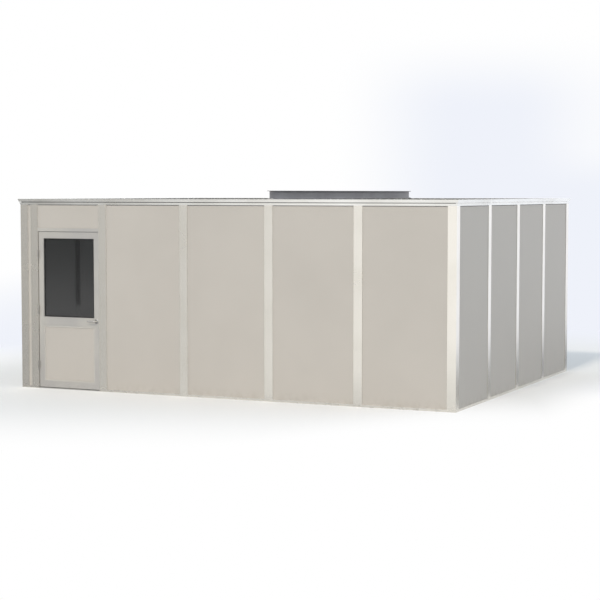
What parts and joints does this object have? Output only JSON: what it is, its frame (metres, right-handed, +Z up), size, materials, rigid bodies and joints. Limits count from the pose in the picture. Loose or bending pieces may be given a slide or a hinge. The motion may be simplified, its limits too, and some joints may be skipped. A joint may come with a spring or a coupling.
{
  "type": "modular in-plant office",
  "caption": "Free-standing rectangular room of grooved posts and flat wall panels under a ribbed steel deck, with a roof beam and a half-glazed swing door.",
  "frame": {"origin": "centre of the walls' footprint, on the floor", "axes": "+Z up, +X to the right along the front wall seen from outside, +Y from the front wall to the back wall"},
  "size_m": [6.084, 4.9125, 2.583],
  "materials": {
    "wall_panel": "vinyl-faced gypsum board with a fine pebbled grain, warm grey",
    "posts": "satin off-white paint on extruded aluminium",
    "crown_trim": "satin off-white paint on formed metal",
    "base_track": "satin off-white paint, scuffed at the floor",
    "door_frame": "satin off-white paint",
    "door_glass": "tinted safety glass",
    "door_hardware": "satin stainless steel",
    "threshold": "mill aluminium",
    "roof_deck": "dark grey primer on ribbed steel sheet",
    "roof_beam": "dark grey primer on rolled steel"
  },
  "bodies": {
    "building": {"back_wall_panels": "wall_panel", "back_wall_posts": "posts", "base_track_back": "base_track", "base_track_front_left": "base_track", "base_track_front_right": "base_track", "base_track_left": "base_track", "base_track_right": "base_track", "corner_post_back_left": "posts", "corner_post_back_right": "posts", "corner_post_front_left": "posts", "corner_post_front_right": "posts", "door_head": "door_frame", "door_stops": "door_frame", "filler_panel": "wall_panel", "front_panel_1": "wall_panel", "front_panel_2": "wall_panel", "front_panel_3": "wall_panel", "front_panel_4": "wall_panel", "front_wall_posts": "posts", "hinge_post": "posts", "jamb_hinges": "door_hardware", "left_wall_panels": "wall_panel", "left_wall_posts": "posts", "right_wall_panels": "wall_panel", "right_wall_posts": "posts", "roof_beam": "roof_beam", "roof_deck": "roof_deck", "roof_edge_back": "crown_trim", "roof_edge_front": "crown_trim", "roof_edge_left": "crown_trim", "roof_edge_right": "crown_trim", "strike_post": "posts", "threshold": "threshold", "top_track_back": "crown_trim", "top_track_front": "crown_trim", "top_track_left": "crown_trim", "top_track_right": "crown_trim", "transom_panel": "wall_panel"},
    "door": {"door_leaf_frame": "door_frame", "door_glass": "door_glass", "door_panel": "wall_panel", "leaf_hinges": "door_hardware", "lever_roses": "door_hardware"},
    "lever": {"lever_handles": "door_hardware"}
  },
  "joints": [
    {"name": "door_swing", "type": "hinge", "parent": "building", "child": "door", "pos_m": [-2.7455, -2.429, 1], "axis": [0, 0, -1], "range_deg": [0, 110]},
    {"name": "lever_turn", "type": "hinge", "parent": "door", "child": "lever", "pos_m": [-1.871, -2.38775, 0.901], "axis": [0, -1, 0], "range_deg": [0, 45], "stiffness_Nm_per_rad": 1.9, "springref_deg": -17.19}
  ]
}
